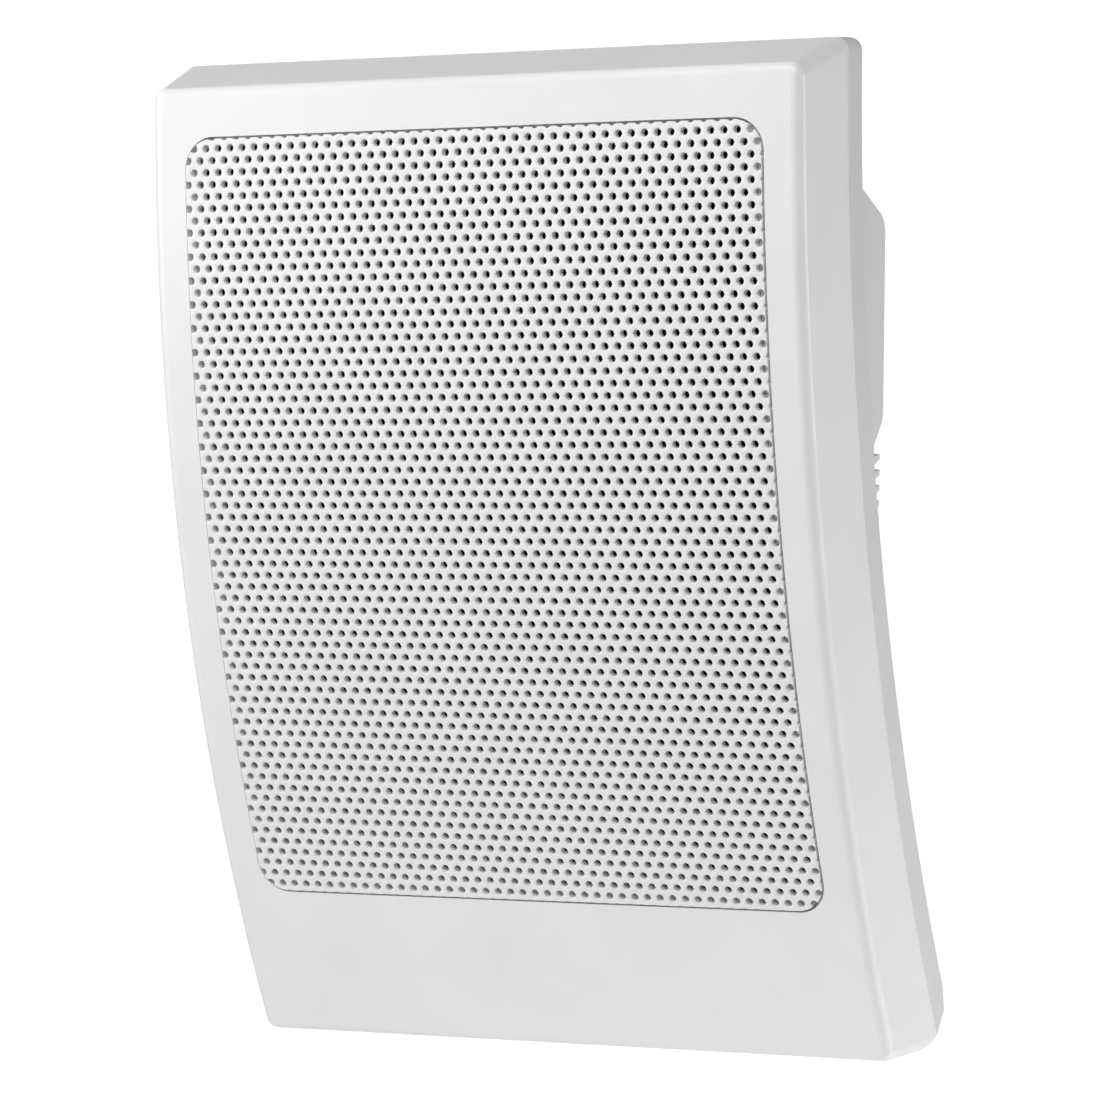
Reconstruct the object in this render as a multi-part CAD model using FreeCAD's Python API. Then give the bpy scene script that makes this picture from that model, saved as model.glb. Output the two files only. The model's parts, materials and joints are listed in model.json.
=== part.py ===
import FreeCAD, Part
import math
import os

# A surface-mount speaker. A bowed front frame with a perforated grille and a rear shell with a raised box close
# round a flat baffle that carries one cone driver. A line transformer and a terminal block sit in the box.
#
# Model frame: origin on the wall, midway between the two hanging keyholes, +Y into the wall, +Z up.
# Cabinet frame: origin in the middle of the grille on the front face, +Y along the driver's axis towards the
# wall, +Z up along the front. It is turned by TILT about X. Every surface of the bowed front is a drum about
# one axis along X, FRONT_RADIUS behind the face, so a depth into the cabinet is a smaller drum.

V = FreeCAD.Vector

# Stance on the wall
TILT = 13.5
FRONT_STANDOFF = 84.0
FRONT_DROP = 54.5

# Grille: a bowed moulded sheet. One opening stands for a patch of fine holes, OPENING_STEP pitches wide.
GRILLE_WIDTH = 159.0
GRILLE_HEIGHT = 197.8
GRILLE_CORNER = 7.5
GRILLE_SHEET = 2.2
GRILLE_GAP = 0.5
GRILLE_SEAT_GAP = 0.1
HOLE_PITCH = 3.5
HOLE_DIAMETER = 1.9
OPENING_STEP = 5
OPENING_SIDES = 8
OPENING_MARGIN = 2.5

# Front frame
FRONT_RADIUS = 507.0
BORDER_SIDE = 9.5
BORDER_TOP = 12.3
BORDER_BOTTOM = 42.6
FRAME_DEPTH = 21.7
DRAFT = 8.5
WALL = 2.5
FLOOR_EXTRA = 2.5
EDGE_RADIUS = 2.8
CORNER_RADIUS = 3.4
LEDGE_WIDTH = 2.6
LEDGE_THICKNESS = 2.0
SKIRT_WALL = 2.5
SKIRT_END = 1.0

# Rear shell
SEAM_GAP = 0.4
SHELL_DEPTH = 36.0
SHELL_TAPER = 7.0
RIM_WALL = 3.4
SHELL_EDGE = 1.0
SEAM_EDGE = 0.4
LIP_HEIGHT = 3.0
LIP_WALL = 1.5
LIP_GAP = 0.3
TOE_SETBACK = 1.0
TOE_HEIGHT = 9.0
TOE_ANGLE = 55.0

# Box on the rear shell
BOX_WIDTH = 145.4
BOX_DRAFT = 4.0
BOX_RISE = 28.0
PAD_FALL = 24.0
BOX_FLOOR_GAP = 7.0
BOX_SLOPE = 18.4
BOX_ROUND = 5.5
BOX_EDGE = 1.0
FIN_RECESS = 8.0
FIN_TIP = 3.2
FIN_PITCH = 4.0
FIN_ROOT = 2.2
FIN_CREST = 1.4
FIN_LIFT = 1.0
FIN_START = 2.0

# Hanging keyholes and cable entry in the pad
KEYHOLE_SPACING = 90.0
KEYHOLE_ENTRY = 9.0
KEYHOLE_SLOT = 4.6
KEYHOLE_RISE = 9.0
ENTRY_DROP = 12.0
ENTRY_BORE = 8.0
ENTRY_HOLE = 14.0
ENTRY_RECESS = 2.5
GROMMET_FLANGE = 2.5
GROMMET_LIP = 1.5
GROMMET_GAP = 0.1

# Baffle
BAFFLE_THICKNESS = 5.0
BAFFLE_GAP = 0.1
BAFFLE_EAR = 2.8
BAFFLE_EAR_OUT = 1.8
BAFFLE_SCREW_PITCH = 62.0

# Driver
DRIVER_RISE = 22.0
DRIVER_DIAMETER = 130.0
FLANGE_WIDTH = 7.5
BASKET_STEEL = 1.2
GASKET_THICKNESS = 1.0
LANDING_DROP = 3.0
LANDING_WIDTH = 5.0
SPIDER_DEPTH = 20.0
SPIDER_DIAMETER = 70.0
SPIDER_LANDING = 5.0
BASKET_DEPTH = 27.0
BASKET_NECK = 58.0
LEG_ANGLE = 34.0
LEG_COUNT = 4
COIL_DIAMETER = 25.6
FORMER_WALL = 0.3
WINDING_WALL = 0.35
COIL_GAP = 0.3
COIL_LENGTH = 10.0
FORMER_TAIL = 2.8
CONE_WALL = 0.8
CONE_DEPTH = 11.5
CONE_RIM = 3.3
RIM_LIFT = 2.6
SURROUND_WALL = 0.6
SURROUND_ROLL = 2.4
SURROUND_CREST = 1.6
SURROUND_LIP = 1.1
CAP_RADIUS = 17.0
CAP_HEIGHT = 6.0
CAP_WALL = 0.6
SPIDER_WALL = 0.6
SPIDER_WAVE = 1.2
SPIDER_WAVES = 4
SPIDER_CUP = 2.6
GLUE_GAP = 0.1
TOP_PLATE = 4.0
TOP_PLATE_DIAMETER = 60.0
MAGNET_DIAMETER = 66.0
MAGNET_BORE = 32.0
MAGNET_THICKNESS = 12.0
YOKE_DIAMETER = 62.0
YOKE_PLATE = 4.0
YOKE_VENT = 8.0
STRIP_WIDTH = 16.0
STRIP_LENGTH = 9.0
STRIP_BOARD = 1.2
TAG_WIDTH = 3.0
TAG_SPACING = 8.0
TAG_LENGTH = 4.0

# Line transformer on the box's lower back
CORE_WIDTH = 38.0
CORE_HEIGHT = 32.0
CORE_STACK = 12.0
CORE_LEG = 12.6
CORE_YOKE = 6.3
CORE_CLEARANCE = 6.0
STANDOFF_HEIGHT = 4.0
COIL_PROUD = 4.2
BOBBIN_WALL = 0.8
BOBBIN_FIT = 0.3
CLAMP_STEEL = 0.8
CLAMP_FOOT = 9.0
CLAMP_LENGTH = 26.0

# Terminal block
BLOCK_X = 50.0
BLOCK_LIFT = 11.0
BLOCK_WIDTH = 24.0
BLOCK_DEPTH = 14.0
BLOCK_HEIGHT = 18.0
POLE_SPACING = 14.0
WIRE_BORE = 4.0
CLAMP_SCREW_BORE = 4.4

# Leads
LEAD_DIAMETER = 1.6
LEAD_SPACING = 8.0
LEAD_BEND = 6.0
LEAD_END_GAP = 0.1

# Screws
SCREW_SHANK = 2.8
SCREW_HEAD = 5.6
SCREW_HEAD_HEIGHT = 1.8
PILOT_GAP = 0.1
CLEARANCE_HOLE = 3.4
BOSS_DIAMETER = 7.0
BOSS_SKIN = 1.0
SHELL_SCREW_X = 72.0
SHELL_SCREW_TOP = 5.4
SHELL_SCREW_BOTTOM = 14.5
SHELL_SCREW_SINK = 3.0
SHELL_SCREW_SEAT = 3.0
SHELL_SCREW_LENGTH = 13.0
BAFFLE_SCREW_LENGTH = 11.0
DRIVER_SCREW_LENGTH = 5.0
INNER_SCREW_LENGTH = 6.0
HEAD_CLEARANCE = 0.5

# Sizes worked out from those above
EPS = 0.01
FAR = 400.0
SPARE_ANGLE = 6.0
OPENING_W = GRILLE_WIDTH + 2 * GRILLE_GAP
OPENING_H = GRILLE_HEIGHT + 2 * GRILLE_GAP
OPENING_CORNER = GRILLE_CORNER + GRILLE_GAP
FRONT_HALF = OPENING_W / 2 + BORDER_SIDE
OPENING_ANGLE = math.asin(OPENING_H / 2 / FRONT_RADIUS)
TOP_ANGLE = OPENING_ANGLE + BORDER_TOP / FRONT_RADIUS
BOTTOM_ANGLE = OPENING_ANGLE + BORDER_BOTTOM / FRONT_RADIUS
SLOPE = math.tan(math.radians(DRAFT))
TAPER = math.tan(math.radians(SHELL_TAPER))
BOX_LEAN = math.tan(math.radians(BOX_DRAFT))
SKIRT_HALF_W = OPENING_W / 2 + SKIRT_WALL
SKIRT_HALF_H = OPENING_H / 2 + SKIRT_WALL
LEDGE_TOP = GRILLE_SHEET + GRILLE_SEAT_GAP
DRIVER_RADIUS = DRIVER_DIAMETER / 2
FORMER_RADIUS = COIL_DIAMETER / 2
WINDING_RADIUS = FORMER_RADIUS + WINDING_WALL
FIN_WALL_Y = -FIN_RECESS - WALL
BOSS_FACE_Y = FIN_WALL_Y - STANDOFF_HEIGHT

CABINET = FreeCAD.Placement(V(0, -FRONT_STANDOFF, -FRONT_DROP), FreeCAD.Rotation(V(1, 0, 0), TILT))


def placed(shape):
    """A shape of the cabinet frame, moved into the model frame."""
    return shape.transformed(CABINET.toMatrix(), True)


def sag(depth, z):
    """The cabinet-frame Y of the drum surface that lies depth behind the face, at height z."""
    radius = FRONT_RADIUS - depth
    return FRONT_RADIUS - math.sqrt(radius * radius - z * z)


BAFFLE_Y = sag(0, OPENING_H / 2) + LEDGE_TOP + LEDGE_THICKNESS + SKIRT_END
BAFFLE_BACK = BAFFLE_Y + BAFFLE_THICKNESS
FLANGE_Y = BAFFLE_BACK + GASKET_THICKNESS
LANDING_Y = FLANGE_Y + LANDING_DROP
RIM_Y = LANDING_Y - RIM_LIFT
POLE_Y = FLANGE_Y + BASKET_DEPTH + BASKET_STEEL
MAGNET_LOW = CABINET.multVec(V(0, POLE_Y + TOP_PLATE, DRIVER_RISE - MAGNET_DIAMETER / 2)).z
TRANSFORMER_DROP = CORE_CLEARANCE + CORE_HEIGHT / 2 - MAGNET_LOW
BLOCK_DROP = TRANSFORMER_DROP - BLOCK_LIFT
BOX_FALL = TRANSFORMER_DROP + CORE_HEIGHT / 2 + BOX_FLOOR_GAP


def drum(depth):
    """Everything behind the drum surface at this depth."""
    return Part.makeCylinder(FRONT_RADIUS - depth, 2 * FAR, V(-FAR, FRONT_RADIUS, 0), V(1, 0, 0))


def prism_x(points, half_length):
    """A polygon of (y, z) points drawn out along X to both sides."""
    corners = [V(-half_length, y, z) for y, z in points]
    face = Part.Face(Part.makePolygon(corners + corners[:1]))
    return face.extrude(V(2 * half_length, 0, 0))


def rod(radius, x, z, y0, y1):
    """A round bar along Y."""
    return Part.makeCylinder(radius, y1 - y0, V(x, y0, z), V(0, 1, 0))


def block(width, depth, height, x, y, z):
    """A box centred on x and z that starts at y."""
    return Part.makeBox(width, depth, height, V(x - width / 2, y, z - height / 2))


def rounded_block(width, height, corner, y0, y1):
    """A box about the cabinet's Y axis with rounded corners seen from the front."""
    plain = block(width, y1 - y0, height, 0, y0, 0)
    uprights = [e for e in plain.Edges if abs(e.tangentAt(e.FirstParameter).y) > 0.9]
    return plain.makeFillet(corner, uprights)


def merged(shapes):
    """One solid from shapes that run into each other."""
    return shapes[0].multiFuse(shapes[1:]).removeSplitter()


def end_corner(angle, up):
    """The (y, z) point where the face meets an end wall, before rounding."""
    return FRONT_RADIUS * (1 - math.cos(angle)), up * FRONT_RADIUS * math.sin(angle)


def along_wall(corner, up, depth):
    """The (y, z) point where an end wall of the frame meets the drum at this depth."""
    y, z = corner
    height = abs(z)
    radius = FRONT_RADIUS - depth
    half_b = (FRONT_RADIUS - y) - height * SLOPE
    a = 1 + SLOPE * SLOPE
    c = FRONT_RADIUS * FRONT_RADIUS - radius * radius
    run = (half_b - math.sqrt(half_b * half_b - a * c)) / a
    return y + run, up * (height + run * SLOPE)


FRAME_TOP = end_corner(TOP_ANGLE, 1)
FRAME_BOTTOM = end_corner(BOTTOM_ANGLE, -1)
SEAM_TOP = along_wall(FRAME_TOP, 1, FRAME_DEPTH)
SEAM_BOTTOM = along_wall(FRAME_BOTTOM, -1, FRAME_DEPTH)
SEAM_HALF = FRONT_HALF + FRAME_DEPTH * SLOPE


def between_ends(top, bottom, slope, inset):
    """The space between two end walls that spread by slope going back, inset by a wall, the lower one thicker."""
    lean = math.sqrt(1 + slope * slope)
    floor = inset + FLOOR_EXTRA if inset else 0
    front, back = -FAR / 4, FAR / 2
    points = []
    for y in (front, back):
        points.append((y, top[1] + (y - top[0]) * slope - inset * lean))
    for y in (back, front):
        points.append((y, bottom[1] - (y - bottom[0]) * slope + floor * lean))
    return prism_x(points, FAR)


def bowed(depth0, half0, depth1, half1):
    """A slab between two drum depths, with the half width at each."""
    corners = [V(-half0, depth0, 0), V(half0, depth0, 0), V(half1, depth1, 0), V(-half1, depth1, 0)]
    face = Part.Face(Part.makePolygon(corners + corners[:1]))
    axis_point = V(0, FRONT_RADIUS, 0)
    start = math.degrees(TOP_ANGLE) + SPARE_ANGLE
    sweep = start + math.degrees(BOTTOM_ANGLE) + SPARE_ANGLE
    face.rotate(axis_point, V(1, 0, 0), -start)
    return face.revolve(axis_point, V(1, 0, 0), sweep)


def frame_half(depth, inset):
    """Half the frame's width at this depth, inset by a wall."""
    return FRONT_HALF + depth * SLOPE - inset * math.sqrt(1 + SLOPE * SLOPE)


def frame_slab(depth0, depth1, inset):
    """The frame's outer form between two depths, inset by a wall on all four sides."""
    slab = bowed(depth0, frame_half(depth0, inset), depth1, frame_half(depth1, inset))
    return slab.common(between_ends(FRAME_TOP, FRAME_BOTTOM, SLOPE, inset))


def shell_half(depth, inset):
    """Half the shell's width at this depth, which shrinks towards the wall."""
    return SEAM_HALF - (depth - FRAME_DEPTH) * TAPER - inset * math.sqrt(1 + TAPER * TAPER)


def shell_slab(depth0, depth1, inset):
    """The shell's rim between two depths, inset by a wall on all four sides."""
    slab = bowed(depth0, shell_half(depth0, inset), depth1, shell_half(depth1, inset))
    return slab.common(between_ends(SEAM_TOP, SEAM_BOTTOM, -TAPER, inset))


def edges_on_drum(shape, depth):
    """The edges of a shape that lie all along one drum surface."""
    found = []
    for edge in shape.Edges:
        first, last = edge.ParameterRange
        along = [edge.valueAt(p) for p in (first, (first + last) / 2, last)]
        reach = [math.hypot(p.y - FRONT_RADIUS, p.z) for p in along]
        if max(abs(r - FRONT_RADIUS + depth) for r in reach) < EPS:
            found.append(edge)
    return found


def corner_edges(shape, depth0, depth1):
    """The edges of a slab that run from one drum to another."""
    flat = edges_on_drum(shape, depth0) + edges_on_drum(shape, depth1)
    return [e for e in shape.Edges if not any(e.isSame(f) for f in flat)]


def shell_screw_places():
    """The (x, z) places of the screws that hold the rear shell to the frame."""
    top = FRAME_TOP[1] - SHELL_SCREW_TOP
    bottom = FRAME_BOTTOM[1] + SHELL_SCREW_BOTTOM
    return [(x, z) for z in (top, bottom) for x in (-SHELL_SCREW_X, SHELL_SCREW_X)]


def shell_screw_seat(z):
    """The cabinet-frame Y that a shell screw's head bears on."""
    return sag(SHELL_DEPTH, z) - SHELL_SCREW_SINK


def column_end(z):
    """The cabinet-frame Y where a frame column meets the shell's boss."""
    return shell_screw_seat(z) - SHELL_SCREW_SEAT


def baffle_screw_places():
    """The (x, z) places of the screws that hold the baffle to the frame."""
    x = SKIRT_HALF_W + BAFFLE_EAR_OUT
    rows = (-BAFFLE_SCREW_PITCH, 0, BAFFLE_SCREW_PITCH)
    return [(side * x, z) for z in rows for side in (-1, 1)]


def screw(length):
    """A pan-head screw along Y, its head's bearing face at the origin and its tip towards -Y."""
    head, shank = SCREW_HEAD / 2, SCREW_SHANK / 2
    outline = [
        V(0, -length, 0),
        V(shank, -length, 0),
        V(shank, 0, 0),
        V(head, 0, 0),
        V(head - SCREW_HEAD_HEIGHT / 2, SCREW_HEAD_HEIGHT, 0),
        V(0, SCREW_HEAD_HEIGHT, 0),
    ]
    face = Part.Face(Part.makePolygon(outline + outline[:1]))
    return face.revolve(V(0, 0, 0), V(0, 1, 0), 360)


def screws(length, places):
    """A group of equal screws at (x, y, z) places."""
    one = screw(length)
    copies = []
    for place in places:
        copy = one.copy()
        copy.translate(V(*place))
        copies.append(copy)
    return Part.makeCompound(copies)


def ring(points):
    """A ring about the driver's axis from (radius, y) points, in the cabinet frame."""
    corners = [V(r, y, 0) for r, y in points]
    face = Part.Face(Part.makePolygon(corners + corners[:1]))
    return on_driver_axis(face)


def on_driver_axis(face):
    """A face in the XY plane, revolved and lifted to the driver's axis."""
    solid = face.revolve(V(0, 0, 0), V(0, 1, 0), 360)
    solid.translate(V(0, 0, DRIVER_RISE))
    return solid


def washer(inner, outer, y0, y1):
    """A flat ring about the driver's axis."""
    return ring([(inner, y0), (outer, y0), (outer, y1), (inner, y1)])


def front_frame():
    """The moulded frame: bowed face, drafted walls, grille seat, skirt, bosses and columns."""
    outer = frame_slab(0, FRAME_DEPTH, 0)
    outer = outer.makeFillet(CORNER_RADIUS, corner_edges(outer, 0, FRAME_DEPTH))
    outer = outer.makeFillet(EDGE_RADIUS, edges_on_drum(outer, 0))
    body = outer.cut(frame_slab(WALL, FRAME_DEPTH + WALL, WALL))
    skirt = rounded_block(2 * SKIRT_HALF_W, 2 * SKIRT_HALF_H, OPENING_CORNER + SKIRT_WALL, -FAR / 4, BAFFLE_Y)
    added = [body, skirt.common(drum(WALL / 2))]
    inside = frame_slab(WALL / 2, FAR / 4, WALL / 2)
    for x, z in baffle_screw_places():
        post = rod(BOSS_DIAMETER / 2, x, z, 0, BAFFLE_Y)
        added.append(post.common(inside))
    for x, z in shell_screw_places():
        column = rod(BOSS_DIAMETER / 2, x, z, 0, column_end(z))
        added.append(column.common(drum(WALL / 2)))
    body = merged(added)
    pocket = rounded_block(OPENING_W, OPENING_H, OPENING_CORNER, -FAR / 4, FAR / 4).cut(drum(LEDGE_TOP))
    ledge_corner = OPENING_CORNER - LEDGE_WIDTH
    way_w, way_h = OPENING_W - 2 * LEDGE_WIDTH, OPENING_H - 2 * LEDGE_WIDTH
    way = rounded_block(way_w, way_h, ledge_corner, -FAR / 4, FAR / 4)
    hollow = rounded_block(OPENING_W, OPENING_H, OPENING_CORNER, -FAR / 4, FAR / 4)
    hollow = hollow.common(drum(LEDGE_TOP + LEDGE_THICKNESS))
    cuts = [pocket, way, hollow]
    pilot = SCREW_SHANK / 2 + PILOT_GAP
    for x, z in baffle_screw_places():
        cuts.append(rod(pilot, x, z, sag(WALL, z) + BOSS_SKIN - WALL / 2, BAFFLE_Y + EPS))
    for x, z in shell_screw_places():
        cuts.append(rod(pilot, x, z, column_end(z) - SHELL_SCREW_LENGTH, column_end(z) + EPS))
    return placed(body.cut(Part.makeCompound(cuts))).cut(toe_cut(0))


def grille_openings():
    """The staggered openings of the grille as bars along Y."""
    pitch = HOLE_PITCH * OPENING_STEP
    row_pitch = pitch * math.sqrt(3) / 2
    radius = HOLE_DIAMETER * OPENING_STEP / 2
    reach_x = GRILLE_WIDTH / 2 - OPENING_MARGIN - radius
    reach_z = GRILLE_HEIGHT / 2 - OPENING_MARGIN - radius
    rows = int(reach_z / row_pitch)
    turn = 2 * math.pi / OPENING_SIDES
    bars = []
    for row in range(-rows, rows + 1):
        shift = pitch / 2 if row % 2 else 0
        columns = int((reach_x - shift) / pitch)
        xs = [column * pitch + shift for column in range(-columns, columns + 1)]
        if shift:
            xs.insert(0, -columns * pitch - shift)
        for x in xs:
            corners = []
            for k in range(OPENING_SIDES):
                a = (k + 0.5) * turn
                corners.append(V(x + radius * math.cos(a), -EPS, row * row_pitch + radius * math.sin(a)))
            face = Part.Face(Part.makePolygon(corners + corners[:1]))
            bars.append(face.extrude(V(0, BAFFLE_Y, 0)))
    return bars


def grille():
    """The bowed perforated sheet, flush with the frame."""
    sheet = rounded_block(GRILLE_WIDTH, GRILLE_HEIGHT, GRILLE_CORNER, -FAR / 4, BAFFLE_Y)
    sheet = sheet.common(drum(0)).cut(drum(GRILLE_SHEET))
    return placed(sheet.cut(Part.makeCompound(grille_openings())))


def box_outline(inset):
    """The box's side profile in the wall's (y, z) plane, offset inwards by a wall."""
    slope = math.tan(math.radians(BOX_SLOPE))
    front = -FRONT_STANDOFF
    points = [
        (front, BOX_RISE - front * slope),
        (0, BOX_RISE),
        (0, -PAD_FALL),
        (-FIN_RECESS, -PAD_FALL - FIN_RECESS),
        (-FIN_RECESS, -BOX_FALL),
        (front, -BOX_FALL + (front + FIN_RECESS) * slope),
    ]
    corners = [V(0, y, z) for y, z in points]
    wire = Part.makePolygon(corners + corners[:1])
    if inset:
        wire = wire.makeOffset2D(-inset, 2)
    return Part.Face(wire)


def box_sides(inset):
    """The wedge between the box's drafted side walls, open along Z."""
    half = BOX_WIDTH / 2 - inset * math.sqrt(1 + BOX_LEAN * BOX_LEAN)
    spread = FRONT_STANDOFF * BOX_LEAN
    corners = [
        V(-half, 0, -FAR),
        V(half, 0, -FAR),
        V(half + spread, -FRONT_STANDOFF, -FAR),
        V(-half - spread, -FRONT_STANDOFF, -FAR),
    ]
    face = Part.Face(Part.makePolygon(corners + corners[:1]))
    return face.extrude(V(0, 0, 2 * FAR))


def box_solid(inset):
    """The box from the wall to the front, before it is trimmed to the shell."""
    face = box_outline(inset)
    face.translate(V(-FAR, 0, 0))
    return face.extrude(V(2 * FAR, 0, 0)).common(box_sides(inset))


def pad_edges(shape, across):
    """The edges round the pad that run across it, or those up its sides."""
    picked = []
    for edge in shape.Edges:
        ends = [v.Point for v in edge.Vertexes]
        if all(abs(p.y) < EPS for p in ends) and (abs(ends[0].z - ends[-1].z) < EPS) == across:
            picked.append(edge)
    return picked


def fins():
    """The ribs across the lower back of the box."""
    count = int((BOX_FALL - PAD_FALL - FIN_RECESS - FIN_START) / FIN_PITCH)
    sides = box_sides(0)
    ribs = []
    for k in range(count):
        z = -PAD_FALL - FIN_RECESS - FIN_START - k * FIN_PITCH
        root = -FIN_RECESS - WALL / 2
        outline = [
            (root, z),
            (-FIN_RECESS, z),
            (-FIN_TIP, z + FIN_LIFT),
            (-FIN_TIP, z + FIN_LIFT - FIN_CREST),
            (-FIN_RECESS, z - FIN_ROOT),
            (root, z - FIN_ROOT),
        ]
        ribs.append(prism_x(outline, FAR).common(sides))
    return ribs


def toe_cut(inset):
    """What the slanting toe clears from the cabinet's lower edge, moved inwards by a wall."""
    angle = math.radians(TOE_ANGLE)
    bottom = CABINET.multVec(V(0, SEAM_BOTTOM[0], SEAM_BOTTOM[1])).z
    y0 = -TOE_SETBACK - inset
    z0 = bottom + TOE_HEIGHT + inset * math.tan(angle / 2)
    points = [
        (y0, FAR),
        (y0, z0),
        (y0 - FAR * math.sin(angle), z0 - FAR * math.cos(angle)),
        (FAR, z0 - FAR),
        (FAR, FAR),
    ]
    return prism_x(points, FAR)


def keyhole(x):
    """One hanging keyhole through the pad."""
    hole = rod(KEYHOLE_ENTRY / 2, x, 0, -2 * WALL, WALL)
    slot = block(KEYHOLE_SLOT, 3 * WALL, KEYHOLE_RISE, x, -2 * WALL, KEYHOLE_RISE / 2)
    end = rod(KEYHOLE_SLOT / 2, x, KEYHOLE_RISE, -2 * WALL, WALL)
    return merged([hole, slot, end])


def standoff_places():
    """The (x, z) places of the screw standoffs on the box's lower back wall."""
    foot = CORE_WIDTH / 2 + CLAMP_STEEL + CLAMP_FOOT / 2
    return [(-foot, -TRANSFORMER_DROP), (foot, -TRANSFORMER_DROP), (BLOCK_X, -BLOCK_DROP)]


def rear_shell():
    """The moulded rear half: rim with a lip, box with ribs, keyholes, cable entry, bosses and standoffs."""
    seam = FRAME_DEPTH + SEAM_GAP
    ahead, past = seam - 2 * CORNER_RADIUS, SHELL_DEPTH + 2 * CORNER_RADIUS
    rim = shell_slab(ahead, past, 0)
    rim = rim.makeFillet(CORNER_RADIUS, corner_edges(rim, ahead, past))
    rim = rim.common(drum(seam))
    rim = rim.makeFillet(SEAM_EDGE, edges_on_drum(rim, seam))
    rim = rim.cut(drum(SHELL_DEPTH))
    rim = rim.makeFillet(SHELL_EDGE, edges_on_drum(rim, SHELL_DEPTH))
    hollow = placed(shell_slab(seam - WALL, SHELL_DEPTH - WALL, RIM_WALL)).cut(toe_cut(WALL))
    lip_inset = WALL + LIP_GAP
    lip = frame_slab(FRAME_DEPTH - LIP_HEIGHT, FRAME_DEPTH + LIP_HEIGHT, lip_inset)
    lip = lip.cut(frame_slab(FRAME_DEPTH - 2 * LIP_HEIGHT, FRAME_DEPTH + 2 * LIP_HEIGHT, lip_inset + LIP_WALL))
    pieces = [placed(rim).cut(toe_cut(0)).cut(hollow), placed(lip)]
    for x, z in shell_screw_places():
        boss = rod(BOSS_DIAMETER / 2, x, z, column_end(z) + BAFFLE_GAP, FAR)
        pieces.append(placed(boss.common(shell_slab(seam, SHELL_DEPTH - WALL / 2, WALL / 2))))
    cabinet = merged(pieces)
    behind = placed(drum(SHELL_DEPTH - WALL / 2))
    box = box_solid(0)
    box = box.makeFillet(BOX_ROUND, pad_edges(box, True))
    box = box.makeFillet(BOX_EDGE, pad_edges(box, False)).common(behind)
    back = [cabinet, box] + fins()
    shell = merged(back).cut(box_solid(WALL))
    inner = []
    for x, z in standoff_places():
        inner.append(rod(BOSS_DIAMETER / 2, x, z, BOSS_FACE_Y, -FIN_RECESS - WALL / 2))
    recess = ENTRY_HOLE / 2 + GROMMET_FLANGE + HEAD_CLEARANCE
    inner.append(rod(recess + WALL, 0, -ENTRY_DROP, -ENTRY_RECESS - WALL, -WALL / 2))
    shell = merged([shell] + inner)
    cuts = [keyhole(side * KEYHOLE_SPACING / 2) for side in (-1, 1)]
    cuts.append(rod(ENTRY_HOLE / 2, 0, -ENTRY_DROP, -FAR / 4, FAR))
    cuts.append(rod(recess, 0, -ENTRY_DROP, -ENTRY_RECESS, FAR))
    pilot = SCREW_SHANK / 2 + PILOT_GAP
    for x, z in standoff_places():
        cuts.append(rod(pilot, x, z, BOSS_FACE_Y - EPS, -FIN_RECESS - BOSS_SKIN))
    for x, z in shell_screw_places():
        seat = shell_screw_seat(z)
        cuts.append(placed(rod(CLEARANCE_HOLE / 2, x, z, column_end(z), seat + EPS)))
        cuts.append(placed(rod(SCREW_HEAD / 2 + HEAD_CLEARANCE, x, z, seat, FAR)))
    return shell.cut(Part.makeCompound(cuts))


def cable_grommet():
    """The soft bush in the cable entry."""
    bore, groove = ENTRY_BORE / 2, ENTRY_HOLE / 2 - GROMMET_GAP
    flange = ENTRY_HOLE / 2 + GROMMET_FLANGE
    face0 = -ENTRY_RECESS - WALL - GROMMET_GAP
    face1 = -ENTRY_RECESS + GROMMET_GAP
    points = [
        (bore, face0 - GROMMET_LIP),
        (flange, face0 - GROMMET_LIP),
        (flange, face0),
        (groove, face0),
        (groove, face1),
        (flange, face1),
        (flange, face1 + GROMMET_LIP),
        (bore, face1 + GROMMET_LIP),
    ]
    corners = [V(r, y, 0) for r, y in points]
    face = Part.Face(Part.makePolygon(corners + corners[:1]))
    solid = face.revolve(V(0, 0, 0), V(0, 1, 0), 360)
    solid.translate(V(0, 0, -ENTRY_DROP))
    return solid


def driver_screw_places():
    """The (x, z) places of the driver's flange screws, between the basket's legs."""
    radius = DRIVER_RADIUS - SCREW_HEAD / 2 - HEAD_CLEARANCE
    turns = [math.pi / 4 + k * math.pi / 2 for k in range(4)]
    return [(radius * math.cos(a), DRIVER_RISE + radius * math.sin(a)) for a in turns]


def baffle_plate():
    """The flat plate with the driver's cut-out and screw ears."""
    y0 = BAFFLE_Y + BAFFLE_GAP
    plate = rounded_block(2 * SKIRT_HALF_W, 2 * SKIRT_HALF_H, OPENING_CORNER + SKIRT_WALL, y0, BAFFLE_BACK)
    pieces = [plate]
    for x, z in baffle_screw_places():
        pieces.append(rod(BAFFLE_EAR, x, z, y0, BAFFLE_BACK))
    cuts = [rod(DRIVER_RADIUS - FLANGE_WIDTH, 0, DRIVER_RISE, 0, FAR)]
    for x, z in baffle_screw_places():
        cuts.append(rod(CLEARANCE_HOLE / 2, x, z, 0, FAR))
    for x, z in driver_screw_places():
        cuts.append(rod(SCREW_SHANK / 2 + PILOT_GAP, x, z, y0 + BOSS_SKIN, FAR))
    return placed(merged(pieces).cut(Part.makeCompound(cuts)))


def driver_gasket():
    """The flat seal between baffle and flange."""
    seal = washer(DRIVER_RADIUS - FLANGE_WIDTH, DRIVER_RADIUS, BAFFLE_BACK, FLANGE_Y)
    holes = [rod(CLEARANCE_HOLE / 2, x, z, 0, FAR) for x, z in driver_screw_places()]
    return placed(seal.cut(Part.makeCompound(holes)))


def landing_radius():
    """The inner edge of the basket's landing for the surround."""
    return DRIVER_RADIUS - FLANGE_WIDTH - LANDING_WIDTH


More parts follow.
